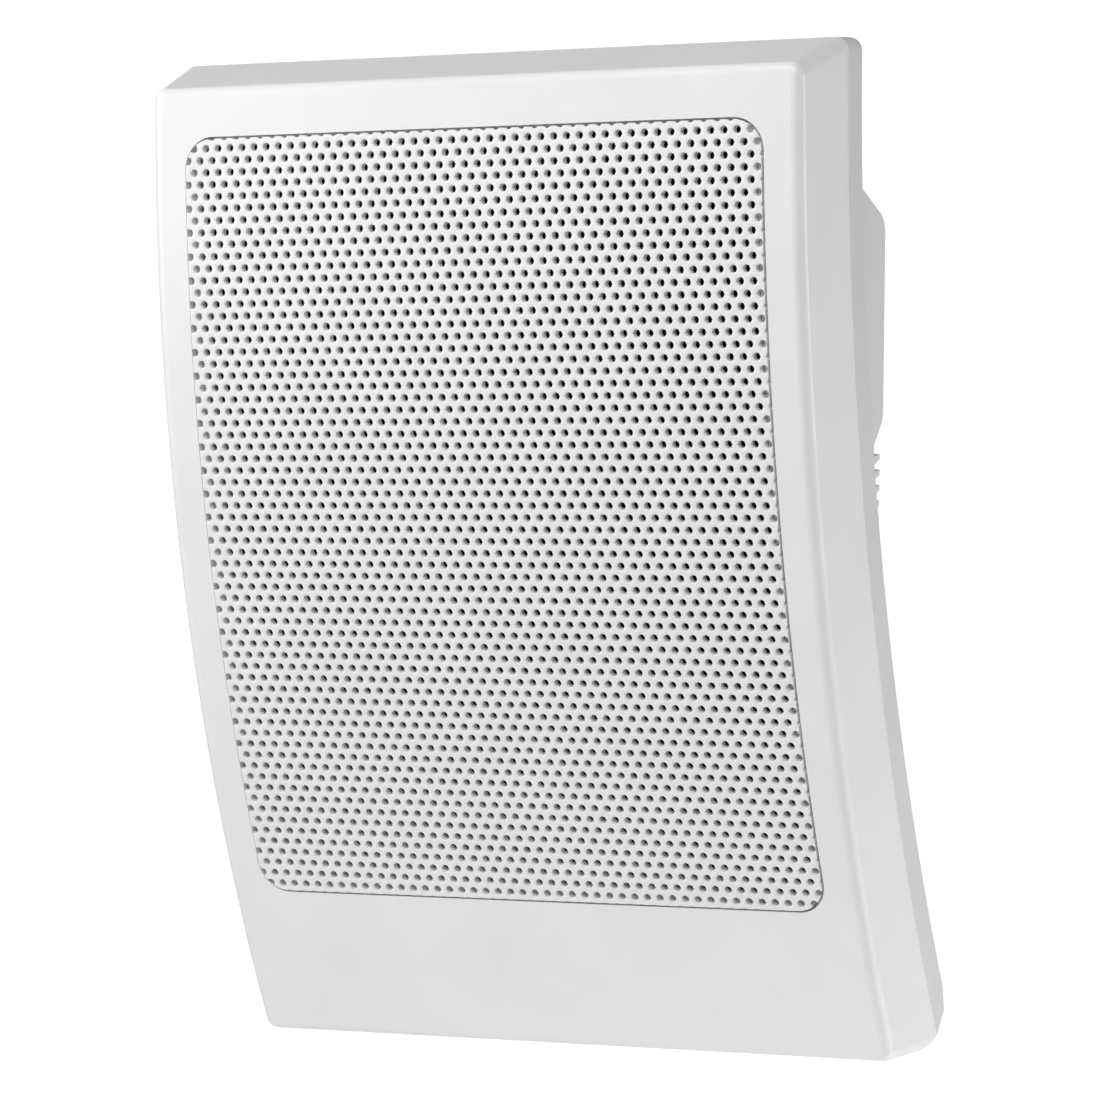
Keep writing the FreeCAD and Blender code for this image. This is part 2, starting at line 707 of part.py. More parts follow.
def driver_basket():
    """The pressed steel basket: flange, landings, open legs and the plate that holds the magnet."""
    t = BASKET_STEEL
    inner_flange = DRIVER_RADIUS - FLANGE_WIDTH
    landing = landing_radius()
    shelf_out = SPIDER_DIAMETER / 2
    shelf_in = shelf_out - SPIDER_LANDING
    neck = BASKET_NECK / 2
    hole = WINDING_RADIUS + COIL_GAP + t
    front = [
        (DRIVER_RADIUS, 0),
        (inner_flange, 0),
        (inner_flange - t, LANDING_DROP),
        (landing, LANDING_DROP),
        (landing, LANDING_DROP + t),
        (shelf_out, SPIDER_DEPTH),
        (shelf_in, SPIDER_DEPTH),
        (neck - t, BASKET_DEPTH),
        (hole, BASKET_DEPTH),
    ]
    back = [
        (hole, BASKET_DEPTH + t),
        (neck, BASKET_DEPTH + t),
        (shelf_in + t, SPIDER_DEPTH + t),
        (shelf_out + t, SPIDER_DEPTH + t),
        (landing + t, LANDING_DROP + 2 * t),
        (inner_flange, LANDING_DROP + t),
        (inner_flange + t, t),
        (DRIVER_RADIUS, t),
    ]
    shape = ring([(r, FLANGE_Y + y) for r, y in front + back])
    window = washer(shelf_out + 2 * t, landing + t / 2, LANDING_Y + t, FLANGE_Y + SPIDER_DEPTH - t)
    legs = []
    for k in range(LEG_COUNT):
        leg = Part.makeCylinder(DRIVER_RADIUS, FAR, V(0, 0, 0), V(0, 1, 0), LEG_ANGLE)
        start = k * 360 / LEG_COUNT - LEG_ANGLE / 2
        leg.rotate(V(0, 0, 0), V(0, 1, 0), start)
        leg.translate(V(0, 0, DRIVER_RISE))
        legs.append(leg)
    shape = shape.cut(window.cut(Part.makeCompound(legs)))
    holes = [rod(CLEARANCE_HOLE / 2, x, z, 0, FAR) for x, z in driver_screw_places()]
    return placed(shape.cut(Part.makeCompound(holes)))


def cone_ends():
    """The (radius, y) ends of the cone's sloping front, from the rim to the neck."""
    rim = landing_radius() - SURROUND_ROLL - CONE_RIM
    return (rim, RIM_Y), (FORMER_RADIUS + GLUE_GAP, RIM_Y + CONE_DEPTH)


def driver_cone():
    """The paper cone with its flat rim."""
    slope_top, neck = cone_ends()
    edge = (landing_radius() - SURROUND_ROLL, RIM_Y)
    front = [edge, slope_top, neck]
    back = [(r, y + CONE_WALL) for r, y in reversed(front)]
    return placed(ring(front + back))


def driver_surround():
    """The roll between the cone's rim and the basket's landing."""
    t = SURROUND_WALL
    in_y, out_y = RIM_Y - GLUE_GAP, LANDING_Y - GLUE_GAP
    roll_in = landing_radius() - SURROUND_ROLL
    roll_out = landing_radius() + SURROUND_ROLL
    crest = V(landing_radius(), in_y - SURROUND_CREST, 0)
    lip_in, lip_out = roll_in - SURROUND_LIP, roll_out + SURROUND_LIP
    back_in, back_out = V(roll_in, in_y, 0), V(roll_out, out_y, 0)
    front_in, front_out = V(roll_in - t, in_y - t, 0), V(roll_out + t, out_y - t, 0)
    edges = [
        Part.Arc(back_in, crest, back_out).toShape(),
        Part.makeLine(back_out, V(lip_out, out_y, 0)),
        Part.makeLine(V(lip_out, out_y, 0), V(lip_out, out_y - t, 0)),
        Part.makeLine(V(lip_out, out_y - t, 0), front_out),
        Part.Arc(front_out, crest - V(0, t, 0), front_in).toShape(),
        Part.makeLine(front_in, V(lip_in, in_y - t, 0)),
        Part.makeLine(V(lip_in, in_y - t, 0), V(lip_in, in_y, 0)),
        Part.makeLine(V(lip_in, in_y, 0), back_in),
    ]
    return placed(on_driver_axis(Part.Face(Part.Wire(edges))))


def cone_front_y(radius):
    """The front of the cone at a radius."""
    (rim, rim_y), (neck, neck_y) = cone_ends()
    return rim_y + (neck_y - rim_y) * (rim - radius) / (rim - neck)


def driver_dust_cap():
    """The domed cap over the cone's neck."""
    edge_y = cone_front_y(CAP_RADIUS) - GLUE_GAP - CAP_WALL / 2
    bow = (CAP_RADIUS ** 2 + CAP_HEIGHT ** 2) / (2 * CAP_HEIGHT)
    centre = V(0, edge_y - CAP_HEIGHT + bow, DRIVER_RISE)
    ball = Part.makeSphere(bow, centre)
    core = Part.makeSphere(bow - CAP_WALL, centre)
    front = rod(FAR / 4, 0, DRIVER_RISE, edge_y - 2 * CAP_HEIGHT, edge_y)
    return placed(ball.cut(core).common(front))


def voice_coil():
    """The former with its winding, centred in the gap."""
    bore = FORMER_RADIUS - FORMER_WALL
    middle = POLE_Y + TOP_PLATE / 2
    front = RIM_Y + CONE_DEPTH - GLUE_GAP
    winding0, winding1 = middle - COIL_LENGTH / 2, middle + COIL_LENGTH / 2
    tail = winding1 + FORMER_TAIL
    points = [
        (bore, front),
        (FORMER_RADIUS, front),
        (FORMER_RADIUS, winding0),
        (WINDING_RADIUS, winding0),
        (WINDING_RADIUS, winding1),
        (FORMER_RADIUS, winding1),
        (FORMER_RADIUS, tail),
        (bore, tail),
    ]
    return placed(ring(points))


def driver_spider():
    """The corrugated disc that centres the coil."""
    inner = FORMER_RADIUS + GLUE_GAP
    outer = SPIDER_DIAMETER / 2
    shelf = outer - SPIDER_LANDING
    base = FLANGE_Y + SPIDER_DEPTH - GLUE_GAP
    step = (shelf - inner) / (2 * SPIDER_WAVES)
    line = [(outer, base)]
    for k in range(2 * SPIDER_WAVES + 1):
        lift = SPIDER_CUP * k / (2 * SPIDER_WAVES) + (SPIDER_WAVE if k % 2 else 0)
        line.append((shelf - k * step, base - lift))
    front = [(r, y - SPIDER_WALL) for r, y in reversed(line)]
    return placed(ring(line + front))


def driver_top_plate():
    """The front pole ring."""
    y0 = POLE_Y
    return placed(washer(WINDING_RADIUS + COIL_GAP, TOP_PLATE_DIAMETER / 2, y0, y0 + TOP_PLATE))


def driver_magnet():
    """The ferrite ring."""
    y0 = POLE_Y + TOP_PLATE
    return placed(washer(MAGNET_BORE / 2, MAGNET_DIAMETER / 2, y0, y0 + MAGNET_THICKNESS))


def driver_yoke():
    """The back plate and the vented pole piece."""
    y0 = POLE_Y
    plate = y0 + TOP_PLATE + MAGNET_THICKNESS
    pole = FORMER_RADIUS - FORMER_WALL - COIL_GAP
    vent = YOKE_VENT / 2
    rim = YOKE_DIAMETER / 2
    back = plate + YOKE_PLATE
    return placed(ring([(vent, y0), (pole, y0), (pole, plate), (rim, plate), (rim, back), (vent, back)]))


def leg_middle():
    """The (radius, y) middle of a basket leg's outer face, and its slope from the axis."""
    t = BASKET_STEEL
    r0, y0 = landing_radius() + t, LANDING_DROP + 2 * t
    r1, y1 = SPIDER_DIAMETER / 2 + t, SPIDER_DEPTH + t
    slope = math.atan2(r0 - r1, y1 - y0)
    return (r0 + r1) / 2, FLANGE_Y + (y0 + y1) / 2, slope


def tag_places():
    """The cabinet-frame middles of the two solder tags' ends."""
    radius, y, slope = leg_middle()
    reach = STRIP_BOARD + TAG_LENGTH
    out = radius + reach * math.cos(slope)
    back = y + reach * math.sin(slope)
    return [V(side * TAG_SPACING / 2, back, DRIVER_RISE - out) for side in (-1, 1)]


def driver_terminal_strip():
    """The board with two solder tags on the lowest leg."""
    radius, y, slope = leg_middle()
    board = block(STRIP_WIDTH, STRIP_LENGTH, STRIP_BOARD, 0, -STRIP_LENGTH / 2, -STRIP_BOARD / 2 - GLUE_GAP)
    pieces = [board]
    for side in (-1, 1):
        height = STRIP_BOARD / 2 + TAG_LENGTH
        z = -GLUE_GAP - STRIP_BOARD / 2 - height / 2
        pieces.append(block(TAG_WIDTH, BASKET_STEEL / 2, height, side * TAG_SPACING / 2, -BASKET_STEEL / 4, z))
    strip = merged(pieces)
    strip.rotate(V(0, 0, 0), V(1, 0, 0), math.degrees(slope))
    strip.translate(V(0, y, DRIVER_RISE - radius))
    return placed(strip)


def core_back():
    """The model Y of the core's face towards the wall."""
    return FIN_WALL_Y - BOBBIN_FIT - COIL_PROUD


def transformer_core():
    """The laminated core with two windows."""
    y0 = core_back() - CORE_STACK
    core = block(CORE_WIDTH, CORE_STACK, CORE_HEIGHT, 0, y0, -TRANSFORMER_DROP)
    window_w = (CORE_WIDTH - CORE_LEG) / 2 - CORE_YOKE
    window_h = CORE_HEIGHT - 2 * CORE_YOKE
    for side in (-1, 1):
        x = side * (CORE_LEG + window_w) / 2
        core = core.cut(block(window_w, 2 * CORE_STACK, window_h, x, y0 - CORE_STACK / 2, -TRANSFORMER_DROP))
    return core


def sleeve(wall_in, wall_out, height):
    """A rectangular sleeve round the core's middle leg."""
    middle = core_back() - CORE_STACK / 2
    outer_w, outer_d = CORE_LEG + 2 * wall_out, CORE_STACK + 2 * wall_out
    inner_w, inner_d = CORE_LEG + 2 * wall_in, CORE_STACK + 2 * wall_in
    outer = block(outer_w, outer_d, height, 0, middle - outer_d / 2, -TRANSFORMER_DROP)
    return outer.cut(block(inner_w, inner_d, 2 * height, 0, middle - inner_d / 2, -TRANSFORMER_DROP))


def bobbin_height():
    """The bobbin's length along the core's middle leg."""
    return CORE_HEIGHT - 2 * CORE_YOKE - 2 * BOBBIN_FIT


def transformer_bobbin():
    """The moulded spool with two cheeks."""
    height = bobbin_height()
    tube = sleeve(BOBBIN_FIT, BOBBIN_FIT + BOBBIN_WALL, height)
    cheek = sleeve(BOBBIN_FIT, COIL_PROUD, BOBBIN_WALL)
    pieces = [tube]
    for side in (-1, 1):
        end = cheek.copy()
        end.translate(V(0, 0, side * (height - BOBBIN_WALL) / 2))
        pieces.append(end)
    return merged(pieces)


def transformer_winding():
    """The wound coil between the cheeks."""
    height = bobbin_height() - 2 * (BOBBIN_WALL + GLUE_GAP)
    coil = sleeve(BOBBIN_FIT + BOBBIN_WALL + GLUE_GAP, COIL_PROUD - BOBBIN_WALL / 2, height)
    uprights = [e for e in coil.Edges if abs(e.tangentAt(e.FirstParameter).z) > 0.9]
    outer = [e for e in uprights if abs(e.CenterOfMass.x) > CORE_LEG / 2 + BOBBIN_FIT + 2 * BOBBIN_WALL]
    return coil.makeFillet(BOBBIN_WALL * 2, outer)


def transformer_clamp():
    """The pressed steel frame that holds the core on its standoffs, open over the coil."""
    half = CORE_WIDTH / 2 + GLUE_GAP
    top = core_back() - CORE_STACK - GLUE_GAP
    t = CLAMP_STEEL
    foot = half + t + CLAMP_FOOT
    outline = [
        (-foot, BOSS_FACE_Y),
        (-half, BOSS_FACE_Y),
        (-half, top),
        (half, top),
        (half, BOSS_FACE_Y),
        (foot, BOSS_FACE_Y),
        (foot, BOSS_FACE_Y - t),
        (half + t, BOSS_FACE_Y - t),
        (half + t, top - t),
        (-half - t, top - t),
        (-half - t, BOSS_FACE_Y - t),
        (-foot, BOSS_FACE_Y - t),
    ]
    z0 = -TRANSFORMER_DROP - CLAMP_LENGTH / 2
    corners = [V(x, y, z0) for x, y in outline]
    clamp = Part.Face(Part.makePolygon(corners + corners[:1])).extrude(V(0, 0, CLAMP_LENGTH))
    coil_w = CORE_LEG + 2 * COIL_PROUD + 2 * BOBBIN_FIT
    coil_h = bobbin_height() + 2 * BOBBIN_FIT
    cuts = [block(coil_w, 4 * t, coil_h, 0, top - 2 * t, -TRANSFORMER_DROP)]
    for x, z in standoff_places()[:2]:
        cuts.append(rod(CLEARANCE_HOLE / 2, x, z, BOSS_FACE_Y - 2 * t, BOSS_FACE_Y + t))
    return clamp.cut(Part.makeCompound(cuts))


def pole_places():
    """The x places of the terminal block's two poles."""
    return [BLOCK_X + side * POLE_SPACING / 2 for side in (-1, 1)]


def terminal_block():
    """The two-pole screw terminal on its standoff."""
    y0 = BOSS_FACE_Y - BLOCK_DEPTH
    body = block(BLOCK_WIDTH, BLOCK_DEPTH, BLOCK_HEIGHT, BLOCK_X, y0, -BLOCK_DROP)
    middle = y0 + BLOCK_DEPTH / 2
    cuts = [rod(CLEARANCE_HOLE / 2, BLOCK_X, -BLOCK_DROP, y0, BOSS_FACE_Y + WALL)]
    seat = BOSS_FACE_Y - WALL
    cuts.append(rod(SCREW_HEAD / 2 + HEAD_CLEARANCE, BLOCK_X, -BLOCK_DROP, y0 - WALL, seat))
    for x in pole_places():
        wire_z = -BLOCK_DROP - BLOCK_HEIGHT
        cuts.append(Part.makeCylinder(WIRE_BORE / 2, 2 * BLOCK_HEIGHT, V(x, middle, wire_z), V(0, 0, 1)))
        cuts.append(rod(CLAMP_SCREW_BORE / 2, x, -BLOCK_DROP, y0 - WALL, middle))
    return body.cut(Part.makeCompound(cuts))


def terminal_screws():
    """The two clamping screws in the block, slotted across."""
    y0 = BOSS_FACE_Y - BLOCK_DEPTH
    radius = CLAMP_SCREW_BORE / 2 - GLUE_GAP
    found = []
    for x in pole_places():
        body = rod(radius, x, -BLOCK_DROP, y0 + BOSS_SKIN, y0 + BLOCK_DEPTH / 2 - WIRE_BORE / 2)
        slot = block(radius / 2, BOSS_SKIN, BLOCK_HEIGHT, x, y0 + BOSS_SKIN - EPS, -BLOCK_DROP)
        found.append(body.cut(slot))
    return Part.makeCompound(found)


def lead(points, bend):
    """A round wire along straight runs joined by tangent arcs."""
    edges = []
    start = points[0]
    for before, corner, after in zip(points, points[1:], points[2:]):
        way_in = (corner - before).normalize()
        way_out = (after - corner).normalize()
        turn = way_in.getAngle(way_out)
        reach = bend * math.tan(turn / 2)
        arc0 = corner - way_in * reach
        arc1 = corner + way_out * reach
        inward = (way_out - way_in).normalize()
        mid = corner + inward * (bend / math.cos(turn / 2) - bend)
        edges.append(Part.LineSegment(start, arc0).toShape())
        edges.append(Part.Arc(arc0, mid, arc1).toShape())
        start = arc1
    edges.append(Part.LineSegment(start, points[-1]).toShape())
    path = Part.Wire(edges)
    first = (points[1] - points[0]).normalize()
    section = Part.Wire(Part.makeCircle(LEAD_DIAMETER / 2, points[0], first))
    return path.makePipeShell([section], True, True)


def coil_face():
    """The model Y where leads leave the front of the transformer's coil."""
    return core_back() - CORE_STACK - COIL_PROUD + BOBBIN_WALL / 2 - LEAD_END_GAP


def driver_leads():
    """The pair from the transformer's coil to the driver's tags, each in line with its tag at the end."""
    slope = leg_middle()[2]
    outward = CABINET.Rotation.multVec(V(0, math.sin(slope), -math.cos(slope)))
    leads = []
    for tag in tag_places():
        stop = CABINET.multVec(tag) + outward * LEAD_END_GAP
        knee = stop + outward * LEAD_BEND
        start = V(stop.x, coil_face(), knee.z)
        leads.append(lead([start, knee, stop], LEAD_BEND))
    return Part.makeCompound(leads)


def supply_leads():
    """The pair from the terminal block to the transformer's coil, one above the other."""
    block_y = BOSS_FACE_Y - BLOCK_DEPTH / 2
    coil_x = CORE_LEG / 2 + LEAD_DIAMETER
    leads = []
    for k, x in enumerate(pole_places()):
        step = k * LEAD_SPACING
        z = -TRANSFORMER_DROP + LEAD_SPACING / 2 - step
        low = z - LEAD_BEND
        points = [
            V(x, block_y, -BLOCK_DROP - BLOCK_HEIGHT / 4),
            V(x, block_y, low),
            V(coil_x, coil_face() - 2 * LEAD_BEND, z),
            V(coil_x, coil_face(), z),
        ]
        leads.append(lead(points, LEAD_BEND / 2))
    return Part.makeCompound(leads)


def baffle_screws():
    """The screws through the baffle's ears."""
    return placed(screws(BAFFLE_SCREW_LENGTH, [(x, BAFFLE_BACK, z) for x, z in baffle_screw_places()]))


def driver_screws():
    """The screws through the driver's flange."""
    seat = FLANGE_Y + BASKET_STEEL
    return placed(screws(DRIVER_SCREW_LENGTH, [(x, seat, z) for x, z in driver_screw_places()]))


def shell_screws():
    """The sunk screws that close the cabinet from behind."""
    return placed(screws(SHELL_SCREW_LENGTH, [(x, shell_screw_seat(z), z) for x, z in shell_screw_places()]))


def inner_screws():
    """The screws of the transformer's clamp and the terminal block, driven towards the wall."""
    seats = [BOSS_FACE_Y - CLAMP_STEEL, BOSS_FACE_Y - CLAMP_STEEL, BOSS_FACE_Y - WALL]
    one = screw(INNER_SCREW_LENGTH)
    one.rotate(V(0, 0, 0), V(0, 0, 1), 180)
    copies = []
    for (x, z), y in zip(standoff_places(), seats):
        copy = one.copy()
        copy.translate(V(x, y, z))
        copies.append(copy)
    return Part.makeCompound(copies)


PIECES = [
    front_frame,
    grille,
    rear_shell,
    baffle_plate,
    driver_gasket,
    driver_basket,
    driver_cone,
    driver_surround,
    driver_dust_cap,
    driver_spider,
    voice_coil,
    driver_top_plate,
    driver_magnet,
    driver_yoke,
    driver_terminal_strip,
    transformer_core,
    transformer_bobbin,
    transformer_winding,
    transformer_clamp,
    terminal_block,
    terminal_screws,
    driver_leads,
    supply_leads,
    cable_grommet,
    baffle_screws,
    driver_screws,
    shell_screws,
    inner_screws,
]

os.makedirs("parts", exist_ok=True)
for piece in PIECES:
    piece().exportStep("parts/" + piece.__name__ + ".step")
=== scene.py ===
import json
import math

import bmesh
import bpy
from mathutils import Matrix, Vector
from mathutils.geometry import interpolate_bezier


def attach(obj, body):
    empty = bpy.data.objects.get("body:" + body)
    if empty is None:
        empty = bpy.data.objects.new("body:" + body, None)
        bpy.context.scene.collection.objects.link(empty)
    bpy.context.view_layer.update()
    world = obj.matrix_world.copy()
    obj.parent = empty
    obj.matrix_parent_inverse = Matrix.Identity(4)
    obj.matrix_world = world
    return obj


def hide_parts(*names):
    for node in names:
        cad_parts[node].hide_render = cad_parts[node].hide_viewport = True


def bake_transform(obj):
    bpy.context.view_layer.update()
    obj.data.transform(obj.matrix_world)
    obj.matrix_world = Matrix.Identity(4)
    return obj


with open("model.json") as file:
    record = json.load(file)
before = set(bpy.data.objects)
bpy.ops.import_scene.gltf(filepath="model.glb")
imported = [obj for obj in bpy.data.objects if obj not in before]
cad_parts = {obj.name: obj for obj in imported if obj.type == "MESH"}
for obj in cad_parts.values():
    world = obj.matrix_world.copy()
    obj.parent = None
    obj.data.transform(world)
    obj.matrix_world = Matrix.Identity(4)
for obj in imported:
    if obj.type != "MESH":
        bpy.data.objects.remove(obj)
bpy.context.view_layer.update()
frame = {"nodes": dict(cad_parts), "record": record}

# Sizes are in metres, in the model's frame. MM turns a size in millimetres into metres.
MM = 0.001

# How the cabinet leans: its own frame starts in the middle of the grille, on the face
TILT = math.radians(13.5)
FACE_CENTRE = Vector((0, -84 * MM, -54.5 * MM))
FRONT_RADIUS = 507 * MM

# Grille: it sits a little to the left in its recess
GRILLE_LEFT = 79.85 * MM
GRILLE_RIGHT = 79.35 * MM
GRILLE_HALF_HEIGHT = 98.95 * MM
GRILLE_CORNER = 7.5 * MM
GRILLE_THICKNESS = 2.2 * MM
HOLE_PITCH = 3.5 * MM
HOLE_ROW = 3.041 * MM
HOLE_DIAMETER = 2.1 * MM
HOLE_MOUTH = 2.65 * MM
HOLE_RIM_DEPTH = 0.15 * MM
HOLE_SIDES = 8
HOLE_COLUMNS = 48
HOLE_ROW_PAIRS = 34
TILE_SIDES = 6
RING_TOLERANCE = HOLE_PITCH / 50
TILE_WELD = HOLE_PITCH / 100
GRILLE_CREASE = 55
HOLES_LEFT_OF_CENTRE = 0.47 * MM
HOLES_BELOW_CENTRE = 0.22 * MM
CORNER_SIDES = 8

# Driver's flexible rings
RING_SIDES = 96
RING_CREASE = 40
OUTLINE_WELD = MM / 1000
SURROUND_WALL = 0.6 * MM
SURROUND_LIP = 1.1 * MM
SURROUND_REACH = 2.45 * MM
SURROUND_STEPS = 14
SPIDER_WALL = 0.6 * MM
SPIDER_LANDING = 5 * MM
SPIDER_WAVE = 1.2 * MM
SPIDER_CUP = 2.6 * MM
SPIDER_WAVES = 4
WAVE_STEPS = 8

# Screws: pan heads with a cross recess
SCREW_SIDES = 24
SCREW_CREST = 1.4 * MM
SCREW_CORE = 1.05 * MM
SCREW_TIP = 0.3 * MM
SCREW_TIP_LENGTH = 1.6 * MM
SCREW_PITCH = 1.1 * MM
SCREW_NECK = 1.0 * MM
SCREW_HEAD = 2.8 * MM
SCREW_HEAD_HEIGHT = 1.8 * MM
SCREW_HEAD_FLAT = 1.3 * MM
HEAD_EDGE_SHARE = 0.3
HEAD_STEPS = 6
SCREW_CREASE = 40
RECESS_LENGTH = 3.2 * MM
RECESS_WIDTH = 0.62 * MM
RECESS_DEPTH = 1.1 * MM
SCREW_TURN = math.radians(37)

# Finishes: where a slight shift of tone starts and ends in its noise
TONE_START = 0.3
TONE_END = 0.7

# Studio: a light's turn from the front towards +X, its rise, distance, size and power
STUDIO_MIDDLE = Vector((0, -0.05, -0.06))
FLOOR_LEVEL = -0.9
FLOOR_SIZE = 12
FLOOR_GREY = 0.85
FLOOR_ROUGHNESS = 0.9
ROOM_LIGHT = 0.12
PAPER_WHITE = 1.1
SOFT_LIGHTS = [
    ("left_softbox", -45, 12, 0.65, 0.35, 0.95),
    ("left_far_softbox", -60, 20, 1.4, 0.7, 7.5),
    ("front_softbox", 20, 35, 1.4, 0.7, 9.3),
    ("upper_softbox", -10, 45, 1.4, 0.7, 2.7),
    ("right_softbox", 118, 5, 1.4, 0.3, 3.2),
    ("right_low_softbox", 112, -25, 0.6, 0.55, 1.08),
    ("right_under_softbox", 120, -45, 0.6, 0.5, 0.75),
    ("table_bounce", 0, -80, 0.75, 0.7, 1.9),
    ("back_fill", -150, -20, 1.4, 0.7, 6.0),
]

# Camera
CAMERA_PLACE = Vector((531.7 * MM, -1141.1 * MM, -77.4 * MM))
CAMERA_TURN = (math.radians(90.892), math.radians(-0.720), math.radians(25.931))
CAMERA_LENS = 156.04
CAMERA_SENSOR = 36.0

CABINET = Matrix.Translation(FACE_CENTRE) @ Matrix.Rotation(TILT, 4, "X")


# Modelling helpers

def deselect_all():
    """Nothing is selected, so that an operator acts on the new piece alone."""
    if bpy.context.object and bpy.context.object.mode != "OBJECT":
        bpy.ops.object.mode_set(mode="OBJECT")
    bpy.ops.object.select_all(action="DESELECT")


def edit(piece):
    """Opens one piece in edit mode with all of it selected."""
    deselect_all()
    bpy.context.view_layer.objects.active = piece
    piece.select_set(True)
    bpy.ops.object.mode_set(mode="EDIT")
    bpy.ops.mesh.select_all(action="SELECT")


def close_edit():
    """Back to object mode."""
    bpy.ops.object.mode_set(mode="OBJECT")


def finish_modifier(piece, kind, **settings):
    """Adds one modifier and applies it."""
    modifier = piece.modifiers.new(kind.lower(), kind)
    for name, value in settings.items():
        setattr(modifier, name, value)
    bpy.context.view_layer.objects.active = piece
    bpy.ops.object.modifier_apply(modifier=modifier.name)


def settle(piece, matrix):
    """Moves a piece by a matrix and puts its place into its mesh."""
    deselect_all()
    piece.matrix_world = matrix @ piece.matrix_world
    piece.select_set(True)
    bpy.context.view_layer.objects.active = piece
    bpy.ops.object.transform_apply(location=True, rotation=True, scale=True)


def turned(outline, sides):
    """A closed shape turned about the Y axis from an outline of (radius, y) points."""
    corners = [Vector((radius, y, 0)) for radius, y in outline]
    corners.append(corners[0])
    deselect_all()
    bpy.ops.mesh.primitive_plane_add(size=MM, location=corners[0])
    piece = bpy.context.object
    edit(piece)
    bpy.ops.mesh.merge(type="CENTER")
    for start, end in zip(corners, corners[1:]):
        bpy.ops.mesh.extrude_region_move(TRANSFORM_OT_translate={"value": end - start})
    close_edit()
    settle(piece, Matrix.Identity(4))
    edit(piece)
    bpy.ops.mesh.remove_doubles(threshold=OUTLINE_WELD)
    bpy.ops.mesh.spin(steps=sides, angle=math.radians(360), center=(0, 0, 0), axis=(0, 1, 0))
    bpy.ops.mesh.select_all(action="SELECT")
    bpy.ops.mesh.remove_doubles(threshold=OUTLINE_WELD)
    bpy.ops.mesh.normals_make_consistent(inside=False)
    close_edit()
    return piece


def smooth(piece, angle):
    """Smooth shading, with edges sharper than an angle in degrees left crisp."""
    deselect_all()
    piece.select_set(True)
    bpy.context.view_layer.objects.active = piece
    bpy.ops.object.shade_smooth_by_angle(angle=math.radians(angle))


def named(piece, name, slot, *nodes):
    """Names a finished piece, gives it its slot's material and lets it stand for its CAD nodes."""
    piece.name = name
    piece.data.name = name
    piece.data.materials.clear()
    piece.data.materials.append(MATERIALS[slot])
    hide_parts(*nodes)


def corners_of(node, home):
    """A CAD node's corners in a frame of its own, such as the cabinet's."""
    away = home.inverted()
    return [away @ corner.co for corner in frame["nodes"][node].data.vertices]


# Materials

def new_material(name):
    """A material with one shader, its node tree and the piece's own coordinates."""
    material = bpy.data.materials.new(name)
    material.use_nodes = True
    tree = material.node_tree
    shader = tree.nodes["Principled BSDF"]
    place = tree.nodes.new("ShaderNodeTexCoord").outputs["Object"]
    return material, tree, shader, place


def noise(tree, place, scale, detail=2.0):
    """A noise pattern, with its scale in waves to the metre."""
    texture = tree.nodes.new("ShaderNodeTexNoise")
    texture.inputs["Scale"].default_value = scale
    texture.inputs["Detail"].default_value = detail
    tree.links.new(place, texture.inputs["Vector"])
    return texture.outputs["Fac"]


def ramp(tree, value, low, high):
    """Two colours with a soft change between them."""
    node = tree.nodes.new("ShaderNodeValToRGB")
    node.color_ramp.elements[0].position = TONE_START
    node.color_ramp.elements[0].color = (*low, 1)
    node.color_ramp.elements[1].position = TONE_END
    node.color_ramp.elements[1].color = (*high, 1)
    tree.links.new(value, node.inputs["Fac"])
    return node.outputs["Color"]


def spread(tree, value, low, high):
    """A pattern from 0 to 1 mapped to another range of numbers."""
    node = tree.nodes.new("ShaderNodeMapRange")
    node.inputs["To Min"].default_value = low
    node.inputs["To Max"].default_value = high
    tree.links.new(value, node.inputs["Value"])
    return node.outputs["Result"]


def bump(tree, shader, height, depth, strength):
    """Fine relief from a pattern."""
    node = tree.nodes.new("ShaderNodeBump")
    node.inputs["Distance"].default_value = depth
    node.inputs["Strength"].default_value = strength
    tree.links.new(height, node.inputs["Height"])
    tree.links.new(node.outputs["Normal"], shader.inputs["Normal"])


def speckled(name, low, high, tone_scale, gloss, grain_scale, grain_depth, grain_strength, metal=0.0):
    """A finish with slight shifts of tone and gloss and a fine grain."""
    material, tree, shader, place = new_material(name)
    tone = noise(tree, place, tone_scale)
    grain = noise(tree, place, grain_scale, detail=3.0)
    tree.links.new(ramp(tree, tone, low, high), shader.inputs["Base Color"])
    tree.links.new(spread(tree, grain, *gloss), shader.inputs["Roughness"])
    bump(tree, shader, grain, grain_depth, grain_strength)
    shader.inputs["Metallic"].default_value = metal
    return material


def grey(level):
    """A neutral colour."""
    return (level, level, level)


def white_housing():
    """Satin white moulded plastic with a faint grain."""
    return speckled(
        "white_housing", grey(0.805), grey(0.83), tone_scale=45, gloss=(0.30, 0.40),
        grain_scale=2600, grain_depth=0.03 * MM, grain_strength=0.2)


def white_grille():
    """The grille's plastic, a little more matt than the housing."""
    return speckled(
        "white_grille", grey(0.81), grey(0.835), tone_scale=60, gloss=(0.42, 0.52),
        grain_scale=3000, grain_depth=0.03 * MM, grain_strength=0.2)


def black_board():
    """Black painted fibreboard."""
    return speckled(
        "black_board", grey(0.006), grey(0.012), tone_scale=200, gloss=(0.7, 0.85),
        grain_scale=1500, grain_depth=0.1 * MM, grain_strength=0.4)


def black_rubber():
    """Soft black rubber."""
    return speckled(
        "black_rubber", grey(0.012), grey(0.022), tone_scale=300, gloss=(0.55, 0.7),
        grain_scale=2000, grain_depth=0.05 * MM, grain_strength=0.3)


def black_steel():
    """Black painted pressed steel."""
    return speckled(
        "black_steel", grey(0.012), grey(0.02), tone_scale=250, gloss=(0.35, 0.5),
        grain_scale=2500, grain_depth=0.03 * MM, grain_strength=0.3)


